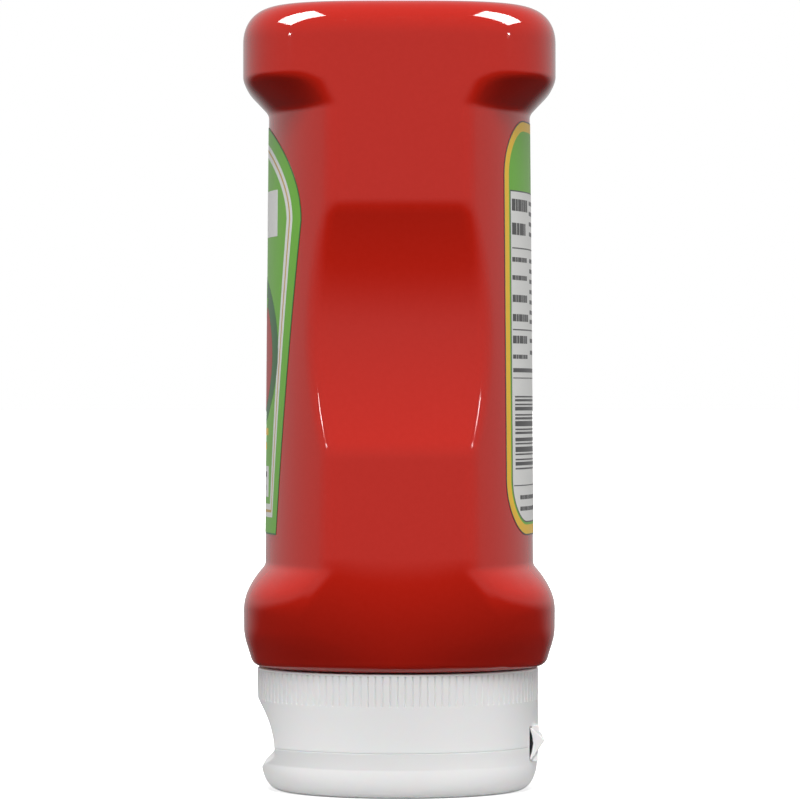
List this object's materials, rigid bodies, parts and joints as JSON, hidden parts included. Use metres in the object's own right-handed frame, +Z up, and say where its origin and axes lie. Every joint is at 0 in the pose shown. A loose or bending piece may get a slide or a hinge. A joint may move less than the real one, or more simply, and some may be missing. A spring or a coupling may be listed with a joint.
{
  "type": "squeeze bottle of ketchup",
  "caption": "Upside-down red squeeze bottle of ketchup with recessed label panels and thumb grips, standing on a white flip-top cap.",
  "frame": {"origin": "on the floor, under the middle of the bottle, on the underside of the shut lid", "axes": "+Z up from the cap to the bottle's flat end; -Y is the front, with the front label and the lid's thumb lip; +X and -X are the narrow sides with the thumb grips"},
  "size_m": [0.0698, 0.061, 0.1524],
  "materials": {
    "red_bottle": "glossy moulded polyester, red from the ketchup inside",
    "green_label": "printed plastic film, green with a white and gold border",
    "yellow_label": "printed plastic film, yellow and green border round a white information panel",
    "white_cap": "satin white polypropylene"
  },
  "bodies": {
    "root": {"bottle": "red_bottle", "label_front": "green_label", "label_back": "yellow_label", "cap": "white_cap", "lid": "white_cap", "hinge_strap": "white_cap"}
  },
  "joints": []
}
